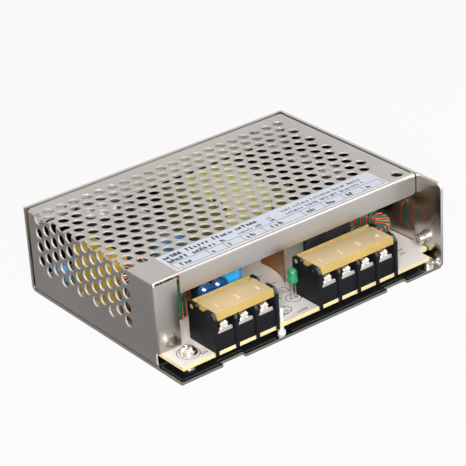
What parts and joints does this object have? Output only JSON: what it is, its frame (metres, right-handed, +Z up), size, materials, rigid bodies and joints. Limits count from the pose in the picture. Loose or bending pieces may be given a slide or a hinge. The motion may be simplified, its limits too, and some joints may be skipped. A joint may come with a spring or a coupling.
{
  "type": "power supply",
  "caption": "Enclosed mains power supply: folded steel case with perforated cover, screw-terminal blocks under hinged clear lids and an indicator lamp.",
  "frame": {"origin": "centre of the case's footprint, on the underside of the base plate", "axes": "+X to the right along the terminal edge, +Y from the terminals to the back wall, +Z up out of the cover"},
  "size_m": [0.129, 0.098, 0.0366],
  "materials": {
    "chassis_steel": "bright rolled",
    "cover_steel": "satin rolled",
    "screw_steel": "bright plated",
    "insert_steel": "bright plated",
    "film_black": "satin film",
    "label_film": "matte print",
    "board": "coated laminate",
    "nylon_white": "moulded",
    "housing_black": "moulded",
    "lid_amber": "clear moulded",
    "contact_plate": "tin plated",
    "lamp_green": "clear moulded",
    "lead_tin": "tinned",
    "ferrite_green": "coated",
    "copper_wire": "enamelled",
    "film_yellow": "moulded",
    "disc_blue": "dipped",
    "sleeve_blue": "shrunk sleeve",
    "fuse_black": "moulded",
    "resin_black": "moulded",
    "sleeve_black": "shrunk sleeve",
    "ferrite_dark": "sintered",
    "bobbin_black": "moulded",
    "tape_yellow": "taped",
    "sink_aluminium": "mill",
    "sink_black": "black anodised",
    "barrier_brown": "clear film",
    "wire_red": "enamelled",
    "wire_green": "enamelled",
    "core_grey": "coated",
    "sleeve_dark": "shrunk sleeve"
  },
  "bodies": {
    "case": {"chassis": "chassis_steel", "top_cover": "cover_steel", "cover_screws": "screw_steel", "side_inserts": "insert_steel", "base_insert": "insert_steel", "insulation_sheet": "film_black", "rating_label": "label_film", "pcb": "board", "pcb_standoffs": "insert_steel", "pcb_washers": "insert_steel", "pcb_screws": "screw_steel", "nylon_post": "nylon_white", "input_housing": "housing_black", "output_housing": "housing_black", "input_contacts": "contact_plate", "output_contacts": "contact_plate", "led_lens": "lamp_green", "led_leads": "lead_tin", "choke_core": "ferrite_green", "choke_winding": "copper_wire", "x_capacitor": "film_yellow", "disc_capacitors": "disc_blue", "aux_capacitor": "sleeve_blue", "fuse": "fuse_black", "bridge_rectifier": "resin_black", "control_chip": "resin_black", "bulk_capacitor": "sleeve_black", "transformer_core": "ferrite_dark", "transformer_bobbin": "bobbin_black", "transformer_winding": "tape_yellow", "transformer_tape": "tape_yellow", "primary_heatsink": "sink_aluminium", "power_transistor": "resin_black", "output_heatsink": "sink_black", "output_rectifier": "resin_black", "heatsink_screws": "screw_steel", "film_barrier": "barrier_brown", "output_choke_core": "core_grey", "output_choke_red": "wire_red", "output_choke_green": "wire_green", "output_capacitors": "sleeve_dark"},
    "input_lid": {"input_lid": "lid_amber"},
    "output_lid": {"output_lid": "lid_amber"},
    "input_clamp_1": {"input_clamp_1": "contact_plate"},
    "input_screw_1": {"input_screw_1": "screw_steel"},
    "input_clamp_2": {"input_clamp_2": "contact_plate"},
    "input_screw_2": {"input_screw_2": "screw_steel"},
    "input_clamp_3": {"input_clamp_3": "contact_plate"},
    "input_screw_3": {"input_screw_3": "screw_steel"},
    "output_clamp_1": {"output_clamp_1": "contact_plate"},
    "output_screw_1": {"output_screw_1": "screw_steel"},
    "output_clamp_2": {"output_clamp_2": "contact_plate"},
    "output_screw_2": {"output_screw_2": "screw_steel"},
    "output_clamp_3": {"output_clamp_3": "contact_plate"},
    "output_screw_3": {"output_screw_3": "screw_steel"},
    "output_clamp_4": {"output_clamp_4": "contact_plate"},
    "output_screw_4": {"output_screw_4": "screw_steel"}
  },
  "joints": [
    {"name": "input_lid_hinge", "type": "hinge", "parent": "case", "child": "input_lid", "pos_m": [-0.03325, -0.0352, 0.02085], "axis": [-1, 0, 0], "range_deg": [0, 74]},
    {"name": "output_lid_hinge", "type": "hinge", "parent": "case", "child": "output_lid", "pos_m": [0.0211, -0.0352, 0.02085], "axis": [-1, 0, 0], "range_deg": [0, 74]},
    {"name": "input_clamp_1_lift", "type": "slide", "parent": "case", "child": "input_clamp_1", "axis": [0, 0, 1], "range_m": [0, 0.0012]},
    {"name": "input_screw_1_turn", "type": "hinge", "parent": "input_clamp_1", "child": "input_screw_1", "pos_m": [-0.04275, -0.0456, 0.01595], "axis": [0, 0, 1], "range_deg": [0, 720]},
    {"name": "input_clamp_2_lift", "type": "slide", "parent": "case", "child": "input_clamp_2", "axis": [0, 0, 1], "range_m": [0, 0.0012]},
    {"name": "input_screw_2_turn", "type": "hinge", "parent": "input_clamp_2", "child": "input_screw_2", "pos_m": [-0.03325, -0.0456, 0.01595], "axis": [0, 0, 1], "range_deg": [0, 720]},
    {"name": "input_clamp_3_lift", "type": "slide", "parent": "case", "child": "input_clamp_3", "axis": [0, 0, 1], "range_m": [0, 0.0012]},
    {"name": "input_screw_3_turn", "type": "hinge", "parent": "input_clamp_3", "child": "input_screw_3", "pos_m": [-0.02375, -0.0456, 0.01595], "axis": [0, 0, 1], "range_deg": [0, 720]},
    {"name": "output_clamp_1_lift", "type": "slide", "parent": "case", "child": "output_clamp_1", "axis": [0, 0, 1], "range_m": [0, 0.0012]},
    {"name": "output_screw_1_turn", "type": "hinge", "parent": "output_clamp_1", "child": "output_screw_1", "pos_m": [0.00685, -0.0456, 0.01595], "axis": [0, 0, 1], "range_deg": [0, 720]},
    {"name": "output_clamp_2_lift", "type": "slide", "parent": "case", "child": "output_clamp_2", "axis": [0, 0, 1], "range_m": [0, 0.0012]},
    {"name": "output_screw_2_turn", "type": "hinge", "parent": "output_clamp_2", "child": "output_screw_2", "pos_m": [0.01635, -0.0456, 0.01595], "axis": [0, 0, 1], "range_deg": [0, 720]},
    {"name": "output_clamp_3_lift", "type": "slide", "parent": "case", "child": "output_clamp_3", "axis": [0, 0, 1], "range_m": [0, 0.0012]},
    {"name": "output_screw_3_turn", "type": "hinge", "parent": "output_clamp_3", "child": "output_screw_3", "pos_m": [0.02585, -0.0456, 0.01595], "axis": [0, 0, 1], "range_deg": [0, 720]},
    {"name": "output_clamp_4_lift", "type": "slide", "parent": "case", "child": "output_clamp_4", "axis": [0, 0, 1], "range_m": [0, 0.0012]},
    {"name": "output_screw_4_turn", "type": "hinge", "parent": "output_clamp_4", "child": "output_screw_4", "pos_m": [0.03535, -0.0456, 0.01595], "axis": [0, 0, 1], "range_deg": [0, 720]}
  ],
  "couplings": [
    {"joint": "input_screw_1_turn", "follows": "input_clamp_1_lift", "rad_per_m": 10472},
    {"joint": "input_screw_2_turn", "follows": "input_clamp_2_lift", "rad_per_m": 10472},
    {"joint": "input_screw_3_turn", "follows": "input_clamp_3_lift", "rad_per_m": 10472},
    {"joint": "output_screw_1_turn", "follows": "output_clamp_1_lift", "rad_per_m": 10472},
    {"joint": "output_screw_2_turn", "follows": "output_clamp_2_lift", "rad_per_m": 10472},
    {"joint": "output_screw_3_turn", "follows": "output_clamp_3_lift", "rad_per_m": 10472},
    {"joint": "output_screw_4_turn", "follows": "output_clamp_4_lift", "rad_per_m": 10472}
  ]
}
